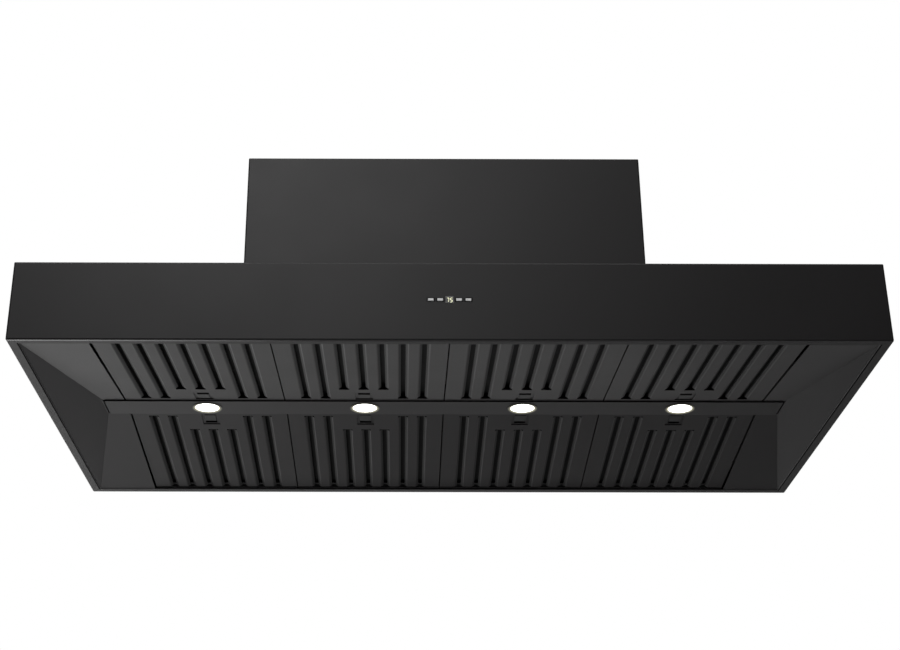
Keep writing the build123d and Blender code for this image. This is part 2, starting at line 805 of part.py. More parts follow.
def main():
    os.makedirs("parts", exist_ok=True)
    liner = left_liner()
    lamps = [Pos(x, 0, ridge_level) for x in filter_centres]
    single = {
        "ceiling_bracket": ceiling_bracket(),
        "upper_posts": upper_posts(),
        "upper_cover": upper_cover(),
        "lower_cover": lower_cover(),
        "lower_posts": lower_posts(),
        "post_bolts": post_bolts(),
        "canopy_shell": canopy_shell(),
        "canopy_top": canopy_top(),
        "left_liner": liner,
        "right_liner": mirror(liner, Plane.YZ),
        "light_bar": light_bar(),
        "lamp_housings": Compound([place * lamp_housing() for place in lamps]),
        "lamp_lenses": Compound([place * lamp_lens() for place in lamps]),
        "display_window": display_window(),
        "control_housing": control_housing(),
        "control_board": control_board(),
        "airbox": airbox(),
        "blower_volute": blower_volute(),
        "blower_motor": blower_motor(),
        "blower_wheel": blower_wheel(),
        "outlet_collar": outlet_collar(),
        "left_damper_flap": damper_flap(-1),
        "right_damper_flap": damper_flap(1),
        "wiring_box": wiring_box(),
    }
    for name, piece in single.items():
        write(name, piece)
    button = control_button()
    for i, x in enumerate(sorted(button_places()), 1):
        write(f"button_{i}", Pos(x, 0, control_level) * button)
    pieces = {
        "face": filter_face(),
        "baffle": filter_baffle(),
        "latch": filter_latch(),
        "tongue": filter_tongue(),
    }
    for i, place in enumerate(filter_places(), 1):
        for name, piece in pieces.items():
            write(f"filter_{i}_{name}", place * piece)


main()
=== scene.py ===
"""Island range hood: finishes, small fittings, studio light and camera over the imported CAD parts.

Lengths are metres in the CAD frame: the origin is the middle of the ceiling plane, X runs along the hood,
-Y is the side with the controls and +Z is up.
"""

import json
import logging
import math
from dataclasses import dataclass
from enum import Enum
from typing import Any, Sequence, Union

import bmesh
import bpy
import numpy as np
from mathutils import Matrix, Vector


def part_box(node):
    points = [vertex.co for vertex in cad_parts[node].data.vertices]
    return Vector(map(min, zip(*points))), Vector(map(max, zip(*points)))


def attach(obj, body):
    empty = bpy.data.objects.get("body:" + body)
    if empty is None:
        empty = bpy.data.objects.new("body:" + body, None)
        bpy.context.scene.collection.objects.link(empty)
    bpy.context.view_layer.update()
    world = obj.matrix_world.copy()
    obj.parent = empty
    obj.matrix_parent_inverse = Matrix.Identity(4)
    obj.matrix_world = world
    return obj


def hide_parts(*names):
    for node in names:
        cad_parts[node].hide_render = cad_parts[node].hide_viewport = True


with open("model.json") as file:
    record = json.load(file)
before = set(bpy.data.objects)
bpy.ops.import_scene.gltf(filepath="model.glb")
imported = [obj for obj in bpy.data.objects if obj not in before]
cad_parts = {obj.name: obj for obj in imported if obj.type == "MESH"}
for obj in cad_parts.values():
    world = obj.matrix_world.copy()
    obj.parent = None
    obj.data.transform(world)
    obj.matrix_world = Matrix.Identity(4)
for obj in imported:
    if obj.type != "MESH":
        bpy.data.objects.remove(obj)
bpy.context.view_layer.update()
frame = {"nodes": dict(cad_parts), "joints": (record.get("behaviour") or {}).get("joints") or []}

log = logging.getLogger("range_hood")
Pair = tuple[float, float]
Triple = tuple[float, float, float]
Color = Triple
Number = Union[float, "Value"]

NOISE_MIDDLE = 0.5
FULL_TURN = 2.0 * math.pi
WELD_DISTANCE = 1e-6
SHARP_ANGLE = math.radians(40)
WHITE: Color = (1.0, 1.0, 1.0)
BLACK: Color = (0.0, 0.0, 0.0)


class Body(Enum):
    """CAD bodies that carry the added pieces."""

    HOOD = "hood"


class Value:
    """Output socket of a node, on which arithmetic adds Math nodes."""

    def __init__(self, graph: "Graph", socket: bpy.types.NodeSocket) -> None:
        """Keeps the graph and the socket."""
        self.graph = graph
        self.socket = socket

    def math(self, operation: str, *inputs: Number) -> "Value":
        """Result of one Math node, with as many inputs as its operation takes."""
        return self.graph.node("ShaderNodeMath", {"operation": operation}, dict(enumerate(inputs)))

    def __add__(self, other: Number) -> "Value":
        """Sum."""
        return self.math("ADD", self, other)

    def __radd__(self, other: Number) -> "Value":
        """Sum with a number on the left."""
        return self.math("ADD", other, self)

    def __sub__(self, other: Number) -> "Value":
        """Difference."""
        return self.math("SUBTRACT", self, other)

    def __rsub__(self, other: Number) -> "Value":
        """Difference from a number on the left."""
        return self.math("SUBTRACT", other, self)

    def __mul__(self, other: Number) -> "Value":
        """Product."""
        return self.math("MULTIPLY", self, other)

    def __rmul__(self, other: Number) -> "Value":
        """Product with a number on the left."""
        return self.math("MULTIPLY", other, self)

    def __truediv__(self, other: Number) -> "Value":
        """Quotient."""
        return self.math("DIVIDE", self, other)

    def __rtruediv__(self, other: Number) -> "Value":
        """Quotient of a number on the left."""
        return self.math("DIVIDE", other, self)

    def __abs__(self) -> "Value":
        """The value without its sign."""
        return self.math("ABSOLUTE", self)

    def fraction(self) -> "Value":
        """What is left of the value above the whole number below it."""
        return self.math("FRACT", self)

    def root(self) -> "Value":
        """Square root."""
        return self.math("SQRT", self)

    def most(self, other: Number) -> "Value":
        """The larger of two values."""
        return self.math("MAXIMUM", self, other)

    def least(self, other: Number) -> "Value":
        """The smaller of two values."""
        return self.math("MINIMUM", self, other)

    def below(self, limit: float) -> "Value":
        """1 where the value is under the limit, 0 elsewhere."""
        return self.math("LESS_THAN", self, limit)

    def above(self, limit: float) -> "Value":
        """1 where the value is over the limit, 0 elsewhere."""
        return self.math("GREATER_THAN", self, limit)

    def swing(self, amount: float) -> "Value":
        """How far a noise is from its middle, times amount."""
        return (self - NOISE_MIDDLE) * amount

    def blend(self, other: "Value", share: float) -> "Value":
        """This value with a share of another one mixed in."""
        return self * (1.0 - share) + other * share

    def smooth(self, low: float, high: float) -> "Value":
        """A soft step from 0 at low to 1 at high."""
        sockets = {"Value": self, "From Min": low, "From Max": high}
        return self.graph.node("ShaderNodeMapRange", {"interpolation_type": "SMOOTHSTEP"}, sockets)


class Graph:
    """Node tree of a material or of the world."""

    def __init__(self, tree: bpy.types.NodeTree) -> None:
        """Empties the tree and keeps it."""
        tree.nodes.clear()
        self.tree = tree

    def node(
        self,
        kind: str,
        settings: dict[str, Any] | None = None,
        sockets: dict[int | str, Any] | None = None,
        out: int | str = 0,
    ) -> Value | None:
        """Adds one node.

        Args:
            kind: Blender's name of the node type.
            settings: Properties of the node, set first.
            sockets: Values or links for the input sockets, by name or number.
            out: The output socket that is returned.

        Returns:
            The chosen output, or None for a node that has no outputs.
        """
        made = self.tree.nodes.new(kind)
        for name, setting in (settings or {}).items():
            setattr(made, name, setting)
        for key, value in (sockets or {}).items():
            if isinstance(value, Value):
                self.tree.links.new(value.socket, made.inputs[key])
            else:
                made.inputs[key].default_value = value
        return Value(self, made.outputs[out]) if made.outputs else None

    def place(self) -> Value:
        """Object coordinates, which are metres in the CAD frame."""
        return self.node("ShaderNodeTexCoord", out="Object")

    def along(self, axis: str) -> Value:
        """One Object coordinate, "X", "Y" or "Z"."""
        return self.node("ShaderNodeSeparateXYZ", sockets={0: self.place()}, out=axis)

    def offset(self, pitch: float, shift: float = 0.0) -> Value:
        """Way along X from the nearest place of an even row. A shift of 0.5 puts one place at 0."""
        return ((self.along("X") / pitch + shift).fraction() - 0.5) * pitch

    def reach(self, across: Value) -> Value:
        """Length of the flat vector of a way along X and the Y coordinate."""
        flat = self.node("ShaderNodeCombineXYZ", sockets={"X": across, "Y": self.along("Y")})
        return self.node("ShaderNodeVectorMath", {"operation": "LENGTH"}, {0: flat}, out="Value")

    def noise(self, size: float, detail: float = 2.0, stretch: Triple = (1.0, 1.0, 1.0)) -> Value:
        """Cloudy noise.

        Args:
            size: Size of its features in metres.
            detail: Octaves of finer noise.
            stretch: How many times longer a feature is along each axis.

        Returns:
            A value about 0.5.
        """
        scale = tuple(1.0 / s for s in stretch)
        place = self.node("ShaderNodeVectorMath", {"operation": "MULTIPLY"}, {0: self.place(), 1: scale})
        sockets = {"Vector": place, "Scale": 1.0 / size, "Detail": detail}
        return self.node("ShaderNodeTexNoise", sockets=sockets)

    def mix(self, factor: Number, low: Any, high: Any) -> Value:
        """Colour between low and high."""
        low, high = (c if isinstance(c, Value) else (*c, 1.0) for c in (low, high))
        return self.node("ShaderNodeMix", {"data_type": "RGBA"}, {0: factor, 6: low, 7: high}, out=2)

    def tint(self, factor: Number, color: Color, spread: float) -> Value:
        """Shade of a colour, darker by the spread where the factor is 0 and lighter by it where it is 1."""
        dark, light = (tuple(c * share for c in color) for share in (1.0 - spread, 1.0 + spread))
        return self.mix(factor, dark, light)

    def bump(self, height: Value, depth: float) -> Value:
        """Normal of a surface whose height goes from 0 to depth metres."""
        return self.node("ShaderNodeBump", sockets={"Height": height, "Distance": depth, "Strength": 1.0})

    def principled(self, sockets: dict[str, Any]) -> Value:
        """Principled shader with these sockets set or linked."""
        return self.node("ShaderNodeBsdfPrincipled", sockets=sockets)

    def layers(self, share: Value, lower: Value, upper: Value) -> Value:
        """Shader that is the lower one where the share is 0 and the upper one where it is 1."""
        return self.node("ShaderNodeMixShader", sockets={0: share, 1: lower, 2: upper})


@dataclass(frozen=True)
class Finish:
    """A surface finish with its own material."""

    name: str

    def shader(self, graph: Graph) -> Value:
        """The finish's shader, which each kind of finish builds."""
        raise NotImplementedError

    def material(self) -> bpy.types.Material:
        """Makes the finish's material when it is first asked for.

        Returns:
            The material.
        """
        label = f"{self.name}_finish"
        made = bpy.data.materials.get(label)
        if made is None:
            made = bpy.data.materials.new(label)
            made.use_nodes = True
            graph = Graph(made.node_tree)
            graph.node("ShaderNodeOutputMaterial", sockets={"Surface": self.shader(graph)})
        return made

    def dress(self, *pieces: bpy.types.Object) -> None:
        """Puts the finish on whole pieces.

        Args:
            pieces: The pieces, which lose the finish that they have.
        """
        for piece in pieces:
            piece.data.materials.clear()
            piece.data.materials.append(self.material())

    def dress_nodes(self, *names: str) -> None:
        """Puts the finish on CAD nodes."""
        self.dress(*(frame["nodes"][name] for name in names))


@dataclass(frozen=True)
class Paint(Finish):
    """Sprayed or moulded coat with a fine peel, slight clouds in its sheen and specks of colour."""

    color: Color
    roughness: float = 0.47
    peel: float = 0.0011
    peel_sheen: float = 0.06
    relief: float = 0.000012
    cloud: float = 0.16
    cloudiness: float = 0.08
    speck_per_peel: float = 0.4
    speck_share: float = 0.5
    spread: float = 0.14
    gloss: float = 0.25

    def shader(self, graph: Graph) -> Value:
        """Peel drives the bump, clouds and specks drive the shade, clouds and peel the sheen.

        Args:
            graph: The material's node tree.

        Returns:
            The shader.
        """
        peel = graph.noise(self.peel)
        cloud = graph.noise(self.cloud, detail=4.0)
        speck = graph.noise(self.peel * self.speck_per_peel, detail=1.0)
        sheen = self.sheen(graph) + cloud.swing(self.cloudiness) + peel.swing(self.peel_sheen)
        return graph.principled({
            "Base Color": graph.tint(cloud.blend(speck, self.speck_share), self.color, self.spread),
            "Roughness": sheen,
            "Specular IOR Level": self.gloss,
            "Normal": graph.bump(self.surface(graph, peel), 1.0),
        })

    def sheen(self, graph: Graph) -> Number:
        """Roughness before clouds and peel."""
        return self.roughness

    def surface(self, graph: Graph, peel: Value) -> Value:
        """Height of the coat in metres."""
        return peel * self.relief


@dataclass(frozen=True, kw_only=True)
class CanopyPaint(Paint):
    """The hood's paint on the canopy, with the round upper edge of the fascia, the smooth lower fold at the
    front and dark strips beside the side rims, a painted shade for the gaps between rims and liners."""

    top: float
    bottom: float
    front: float
    half_width: float
    bend: float = 0.0019
    bend_share: float = 0.92
    fold: float = 0.0062
    fold_slope: float = 0.31
    fold_roughness: float = 0.20
    fold_edge: float = 0.0006
    fold_height: float = 0.0005
    seam: Pair = (0.0130, 0.0150)
    seam_edge: float = 0.0003
    seam_height: float = 0.003
    seam_shade_color: Color = (0.004, 0.004, 0.004)
    seam_roughness: float = 0.8
    seam_gloss: float = 0.02

    def towards_fold(self, graph: Graph) -> Value:
        """Way from the flat part of the rim towards the front fold, in metres."""
        return (self.front + self.fold - graph.along("Y")).most(0.0)

    def sheen(self, graph: Graph) -> Value:
        """Roughness, lower on the underside next to the fold.

        Args:
            graph: The material's node tree.

        Returns:
            The roughness before clouds and peel.
        """
        under = graph.along("Z").below(self.bottom + self.fold_height)
        share = self.towards_fold(graph).smooth(0.0, self.fold_edge) * under
        return self.roughness - share * (self.roughness - self.fold_roughness)

    def surface(self, graph: Graph, peel: Value) -> Value:
        """At the top the coat falls away as a quarter circle: the root of the bend's square less that of the
        way up. On the rim it falls away evenly towards the fold.

        Args:
            graph: The material's node tree.
            peel: The coat's peel.

        Returns:
            The height in metres.
        """
        rise = (graph.along("Z") - (self.top - self.bend)).most(0.0).least(self.bend_share * self.bend)
        fall = (self.bend**2 - rise * rise).root()
        return super().surface(graph, peel) + fall - self.towards_fold(graph) * self.fold_slope

    def seam_shade_share(self, graph: Graph) -> Value:
        """Finds the narrow seams between the side rims and the liners, where a painted shade darkens the
        coat.

        Args:
            graph: The material's node tree.

        Returns:
            1 in a seam, 0 elsewhere.
        """
        start, end = self.seam
        aside = self.half_width - abs(graph.along("X"))
        across = aside.smooth(start - self.seam_edge, start + self.seam_edge)
        across = across - aside.smooth(end - self.seam_edge, end + self.seam_edge)
        between = abs(graph.along("Y")).below(-self.front - start)
        return across * between * graph.along("Z").below(self.bottom + self.seam_height)

    def shader(self, graph: Graph) -> Value:
        """The coat, and the painted shade of the seams.

        Args:
            graph: The material's node tree.

        Returns:
            The shader.
        """
        coat = super().shader(graph)
        # painted shade: a dull near-black coat on the seams stands in for the shade in the gaps beside the
        # side rims
        dark = graph.principled({
            "Base Color": (*self.seam_shade_color, 1.0),
            "Roughness": self.seam_roughness,
            "Specular IOR Level": self.seam_gloss,
        })
        return graph.layers(self.seam_shade_share(graph), coat, dark)


@dataclass(frozen=True, kw_only=True)
class FilterPaint(Paint):
    """The hood's paint on a filter, with a painted shade, a duller and less glossy coat, where the face is
    bent up into a slot.
    """

    hinge: Pair
    pitch: float
    slope: float = 0.09318
    lift: float = 0.0018
    latch_half: float = 0.0155
    latch_start: float = 0.248
    slot_shade_rise: Pair = (0.0002, 0.0014)
    slot_shade_strength: float = 0.7
    inside: Color = (0.013, 0.013, 0.013)
    inside_spread: float = 0.2
    inside_roughness: float = 0.74
    inside_gloss: float = 0.2
    dust: float = 0.004
    dust_sheen: float = 0.12

    def slot_shade_share(self, graph: Graph) -> Value:
        """Share of the painted shade: it grows with the height above the face, a plane that leans up
        from the hinge line to the light bar. The latch's pocket keeps the full coat.

        Args:
            graph: The material's node tree.

        Returns:
            A value from 0 to the strength of the painted shade.
        """
        back = self.hinge[0] - abs(graph.along("Y"))
        up = graph.along("Z") - self.hinge[1]
        height = up * math.cos(self.slope) - back * math.sin(self.slope) - self.lift
        beside = abs(graph.offset(self.pitch)).above(self.latch_half)
        before = back.below(self.latch_start)
        return height.smooth(*self.slot_shade_rise) * beside.most(before) * self.slot_shade_strength

    def shader(self, graph: Graph) -> Value:
        """Full coat on the face, and inside the slots a painted shade: a duller, less glossy coat.

        Args:
            graph: The material's node tree.

        Returns:
            The shader.
        """
        coat = super().shader(graph)
        dust = graph.noise(self.dust, detail=3.0)
        # painted shade: this dull coat stands in for the shade that falls inside the slots
        shaded_coat = graph.principled({
            "Base Color": graph.tint(dust, self.inside, self.inside_spread),
            "Roughness": self.inside_roughness + dust * self.dust_sheen,
            "Specular IOR Level": self.inside_gloss,
        })
        return graph.layers(self.slot_shade_share(graph), coat, shaded_coat)


@dataclass(frozen=True)
class ZincSheet(Finish):
    """Zinc coated steel sheet with a faint crystal pattern."""

    color: Color = (0.40, 0.41, 0.42)
    spread: float = 0.10
    roughness: float = 0.36
    crystal: float = 0.012
    crystal_sheen: float = 0.10
    rub: float = 0.05
    rub_sheen: float = 0.10
    rub_share: float = 0.4
    relief: float = 0.00004

    def shader(self, graph: Graph) -> Value:
        """Crystals are the cells of a Voronoi pattern, each with its own shade and sheen.

        Args:
            graph: The material's node tree.

        Returns:
            The shader.
        """
        cells = {"Vector": graph.place(), "Scale": 1.0 / self.crystal}
        cell = graph.node("ShaderNodeTexVoronoi", sockets=cells, out="Color")
        tone = graph.node("ShaderNodeSeparateColor", sockets={0: cell})
        rub = graph.noise(self.rub, detail=4.0)
        return graph.principled({
            "Base Color": graph.tint(tone.blend(rub, self.rub_share), self.color, self.spread),
            "Metallic": 1.0,
            "Roughness": self.roughness + tone * self.crystal_sheen + rub * self.rub_sheen,
            "Normal": graph.bump(rub, self.relief),
        })


@dataclass(frozen=True)
class BareMetal(Finish):
    """Rolled, turned or plated metal with fine lines along one axis."""

    color: Color
    spread: float = 0.12
    roughness: float = 0.3
    line: float = 0.0006
    lines: Triple = (60.0, 1.0, 1.0)
    line_sheen: float = 0.16
    smear: float = 0.03
    smear_sheen: float = 0.10
    smear_share: float = 0.3
    relief: float = 0.000006

    def shader(self, graph: Graph) -> Value:
        """Stretched noise gives the lines, in shade, sheen and relief.

        Args:
            graph: The material's node tree.

        Returns:
            The shader.
        """
        line = graph.noise(self.line, stretch=self.lines)
        smear = graph.noise(self.smear, detail=3.0)
        return graph.principled({
            "Base Color": graph.tint(line.blend(smear, self.smear_share), self.color, self.spread),
            "Metallic": 1.0,
            "Roughness": self.roughness + line.swing(self.line_sheen) + smear.swing(self.smear_sheen),
            "Normal": graph.bump(line, self.relief),
        })


@dataclass(frozen=True, kw_only=True)
class LampTrim(Paint):
    """Black lamp body with a painted glow on its rim, an emission that stands in for the light spilling out
    of the lens.
    """

    pitch: float
    peel_sheen: float = 0.1
    fade: Pair = (0.0188, 0.0240)
    painted_glow: Color = (0.27, 0.26, 0.19)

    def shader(self, graph: Graph) -> Value:
        """The painted glow fades out with the distance from the nearest lamp's axis.

        Args:
            graph: The material's node tree.

        Returns:
            The shader.
        """
        fade = graph.reach(graph.offset(self.pitch)).smooth(*self.fade)
        peel = graph.noise(self.peel)
        return graph.principled({
            "Base Color": graph.tint(peel, self.color, self.spread),
            "Roughness": self.roughness + peel.swing(self.peel_sheen),
            "Specular IOR Level": self.gloss,
            # painted glow: emission on the trim, which is no lamp, standing in for the lens's spill light
            "Emission Color": graph.mix(fade, self.painted_glow, BLACK),
            "Emission Strength": 1.0,
            "Normal": graph.bump(peel, self.relief),
        })


@dataclass(frozen=True)
class LitLens(Finish):
    """Frosted lamp lens, white in the middle and warmer towards its edge."""

    pitch: float
    radius: float
    fade: Pair = (0.80, 1.02)
    middle: Color = (1.0, 1.0, 0.98)
    edge: Color = (0.16, 0.145, 0.09)
    strength: float = 7.0
    frost: float = 0.0008
    frost_dark: Color = (0.82, 0.82, 0.80)
    frost_light: Color = (0.90, 0.90, 0.88)
    roughness: float = 0.45
    frost_sheen: float = 0.2

    def shader(self, graph: Graph) -> Value:
        """The distance from the nearest lamp's axis sets the light's colour.

        Args:
            graph: The material's node tree.

        Returns:
            The shader.
        """
        reach = graph.reach(graph.offset(self.pitch)) / self.radius
        frost = graph.noise(self.frost)
        return graph.principled({
            "Base Color": graph.mix(frost, self.frost_dark, self.frost_light),
            "Roughness": self.roughness + frost * self.frost_sheen,
            "Emission Color": graph.mix(reach.smooth(*self.fade), self.middle, self.edge),
            "Emission Strength": self.strength,
        })


@dataclass(frozen=True)
class Lit(Finish):
    """Small lit mark with a soft grain in its colour."""

    color: Color
    strength: float
    spread: float = 0.05
    grain: float = 0.0004
    roughness: float = 0.4

    def shader(self, graph: Graph) -> Value:
        """Emission with a slight grain.

        Args:
            graph: The material's node tree.

        Returns:
            The shader.
        """
        glow = graph.tint(graph.noise(self.grain, detail=1.0), self.color, self.spread)
        return graph.principled({
            "Base Color": glow,
            "Roughness": self.roughness,
            "Emission Color": glow,
            "Emission Strength": self.strength,
        })


@dataclass(frozen=True)
class BarButton(Finish):
    """Black button cap with a bright bar on it, the caps standing at even places along X. The bar sits a
    little low, so that a band of black above it is a painted shadow.
    """

    pitch: float
    level: float
    half_width: float
    half_height: float
    color: Color = (0.86, 0.86, 0.86)
    spread: float = 0.06
    cap: Color = (0.006, 0.006, 0.006)
    edge: float = 0.00015
    shade_drop: float = 0.00035
    roughness: float = 0.42
    grain: float = 0.0005
    grain_lines: Triple = (20.0, 1.0, 1.0)
    grain_sheen: float = 0.12
    relief: float = 0.000004

    def within(self, offset: Value, half: float) -> Value:
        """1 where the offset is under half, 0 beyond it."""
        return 1.0 - abs(offset).smooth(half - self.edge, half + self.edge)

    def shader(self, graph: Graph) -> Value:
        """The bar is where both offsets from a point a little under the cap's middle are small.

        Args:
            graph: The material's node tree.

        Returns:
            The shader.
        """
        # painted shadow: the bar is set low so that the black above it stands in for the shadow of the gap
        # over the button
        up = graph.along("Z") - self.level + self.shade_drop
        across = graph.offset(self.pitch, shift=0.5)
        bar = self.within(across, self.half_width) * self.within(up, self.half_height)
        grain = graph.noise(self.grain, stretch=self.grain_lines)
        return graph.principled({
            "Base Color": graph.mix(bar, self.cap, graph.tint(grain, self.color, self.spread)),
            "Roughness": self.roughness + grain * self.grain_sheen,
            "Normal": graph.bump(grain, self.relief),
        })


@dataclass(frozen=True)
class CircuitBoard(Finish):
    """Green solder mask with paler copper runs under it."""

    mask: Color = (0.03, 0.17, 0.07)
    run: Color = (0.07, 0.28, 0.12)
    pitch: float = 0.0025
    gap: float = 0.006
    gap_lines: Triple = (4.0, 1.0, 1.0)
    gap_edge: Pair = (0.45, 0.55)
    roughness: float = 0.35
    grain: float = 0.002
    grain_sheen: float = 0.1

    def shader(self, graph: Graph) -> Value:
        """Runs are bands along X that a coarse noise breaks up.

        Args:
            graph: The material's node tree.

        Returns:
            The shader.
        """
        band = abs((graph.along("Z") / self.pitch).fraction() - 0.5)
        broken = graph.noise(self.gap, detail=1.0, stretch=self.gap_lines).smooth(*self.gap_edge)
        return graph.principled({
            "Base Color": graph.mix(band * broken, self.mask, self.run),
            "Roughness": self.roughness + graph.noise(self.grain) * self.grain_sheen,
        })


HOOD_BLACK: Color = (0.0130, 0.0120, 0.0126)
FILTER_BLACK: Color = (0.0130, 0.0120, 0.0124)
LAMP_BLACK: Color = (0.022, 0.022, 0.022)
SATIN_PAINT = Paint("satin_black", HOOD_BLACK)
# painted shade: the baffles are darker and duller than the faces, standing in for the shade inside the slots
BAFFLE_PAINTED_SHADE = Paint("baffle_black", (0.006, 0.006, 0.006), roughness=0.7, cloud=0.05, gloss=0.12)
LATCH_PLASTIC = Paint("latch_black", (0.018, 0.018, 0.018), roughness=0.5, peel=0.0006, relief=0.00002)
MOTOR_PAINT = Paint("motor_grey", (0.16, 0.16, 0.17), roughness=0.55, peel=0.0015, relief=0.00003)
CONTROL_PLASTIC = Paint("control_plastic", (0.03, 0.03, 0.03), roughness=0.55, peel=0.0005, relief=0.00002)
BEZEL_PLASTIC = Paint("bezel_black", (0.004, 0.004, 0.004), roughness=0.6, peel=0.0004, relief=0.00001)
DISPLAY_GLASS = Paint("display_glass", (0.17, 0.17, 0.165), roughness=0.22, peel=0.0009, relief=0.000002)
RUBBER = Paint("rubber", (0.015, 0.015, 0.015), roughness=0.7, peel=0.0008, relief=0.00003)
ZINC_SHEET = ZincSheet("zinc_sheet")
ZINC_BOLT = BareMetal("zinc_bolt", (0.58, 0.58, 0.56), lines=(1.0, 1.0, 12.0))
WHEEL_ALUMINIUM = BareMetal("wheel_aluminium", (0.66, 0.67, 0.68), roughness=0.35)
SPRING_STEEL = BareMetal("spring_steel", (0.42, 0.42, 0.43), lines=(1.0, 40.0, 1.0))
DIGIT_LIGHT = Lit("digit_light", (0.92, 0.92, 0.62), strength=0.85)
BOARD_MASK = CircuitBoard("board_green")


def joint_place(name: str) -> Triple:
    """Point on the axis of a joint at rest."""
    return next(tuple(joint["pos_m"]) for joint in frame["joints"] if joint["name"] == name)


def filter_pitch() -> float:
    """Distance along X from filter to filter, which is also that from lamp to lamp."""
    return joint_place("filter_2_swing")[0] - joint_place("filter_1_swing")[0]


def grid_faces(grid: np.ndarray, first: int = 0) -> np.ndarray:
    """Quads between the neighbouring points of a grid.

    Args:
        grid: Array of shape (rows, columns, 3).
        first: Number of the grid's first point in its mesh.

    Returns:
        Array of shape (quads, 4) with point numbers.
    """
    rows, columns = grid.shape[:2]
    number = first + np.arange(rows * columns).reshape(rows, columns)
    corners = [number[:-1, :-1], number[1:, :-1], number[1:, 1:], number[:-1, 1:]]
    return np.stack(corners, axis=-1).reshape(-1, 4)


def piece_from_grids(
    name: str, grids: Sequence[np.ndarray], finish: Finish, body: Body
) -> bpy.types.Object:
    """Makes one smooth piece from grids of points, with seams and poles welded.

    Args:
        name: Name of the piece.
        grids: Arrays of shape (rows, columns, 3).
        finish: Its finish.
        body: The CAD body that it rides on.

    Returns:
        The piece, which sits at the origin with its place in its mesh.
    """
    points, faces, first = [], [], 0
    for grid in grids:
        points.append(grid.reshape(-1, 3))
        faces.append(grid_faces(grid, first))
        first += len(points[-1])
    mesh = bpy.data.meshes.new(name)
    mesh.from_pydata(np.concatenate(points).tolist(), [], np.concatenate(faces).tolist())
    shell = bmesh.new()
    shell.from_mesh(mesh)
    bmesh.ops.remove_doubles(shell, verts=shell.verts, dist=WELD_DISTANCE)
    bmesh.ops.recalc_face_normals(shell, faces=shell.faces)
    shell.to_mesh(mesh)
    shell.free()
    mesh.shade_smooth()
    mesh.set_sharp_from_angle(angle=SHARP_ANGLE)
    piece = bpy.data.objects.new(name, mesh)
    bpy.context.scene.collection.objects.link(piece)
    finish.dress(piece)
    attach(piece, body.value)
    log.info("piece %s: %d faces on %s", name, len(mesh.polygons), body.value)
    return piece


def turned(profile: np.ndarray, centre: Sequence[float], steps: int = 48) -> np.ndarray:
    """Surface of revolution about a line along Z: each (radius, height) of the profile goes round a circle.

    Args:
        profile: Array of shape (rows, 2) with radius and height.
        centre: Point on the axis at height 0.
        steps: Parts of the circle.

    Returns:
        Grid of shape (rows, steps + 1, 3).
    """
    angle = np.linspace(0.0, FULL_TURN, steps + 1)
    radius, height = profile[:, :1], profile[:, 1:]
    ring = np.stack(np.broadcast_arrays(radius * np.cos(angle), radius * np.sin(angle), height), axis=-1)
    return ring + np.asarray(centre, dtype=float)


def joined(*runs: tuple[np.ndarray, np.ndarray]) -> np.ndarray:
    """One profile of (radius, height) rows from runs of radii and heights, end to end."""
    return np.concatenate([np.stack(run, axis=-1) for run in runs])


def faded(value: np.ndarray, full: float, none: float) -> np.ndarray:
    """1 up to full, 0 from none on and a straight line between them."""
    return np.clip((none - value) / (none - full), 0.0, 1.0)


@dataclass
class DuctCover:
    """Telescoping duct cover and the frame at the ceiling."""

    def dress(self) -> None:
        """Paint outside, zinc coated steel inside."""
        SATIN_PAINT.dress_nodes("lower_cover", "upper_cover")
        ZINC_SHEET.dress_nodes("ceiling_bracket", "upper_posts", "lower_posts")
        ZINC_BOLT.dress_nodes("post_bolts")


@dataclass
class Canopy:
    """Fascia, top and the end panels of the underside."""

    def dress(self) -> None:
        """Satin black paint all over."""
        low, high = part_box("canopy_shell")
        edges = {"top": high.z, "bottom": low.z, "front": low.y, "half_width": high.x}
        CanopyPaint("canopy_black", HOOD_BLACK, **edges).dress_nodes("canopy_shell")
        SATIN_PAINT.dress_nodes("canopy_top", "left_liner", "right_liner")


@dataclass
class FilterBank:
    """Two rows of baffle filters with their latches."""

    count: int = 8
    cloud: float = 0.09

    def dress(self) -> None:
        """Paint on the faces and baffles, moulded latches and steel tongues."""
        _, side, level = joint_place("filter_1_swing")
        hinge = (abs(side), level)
        face = FilterPaint("filter_black", FILTER_BLACK, cloud=self.cloud, hinge=hinge, pitch=filter_pitch())
        for number in range(1, self.count + 1):
            face.dress_nodes(f"filter_{number}_face")
            BAFFLE_PAINTED_SHADE.dress_nodes(f"filter_{number}_baffle")
            LATCH_PLASTIC.dress_nodes(f"filter_{number}_latch")
            SPRING_STEEL.dress_nodes(f"filter_{number}_tongue")


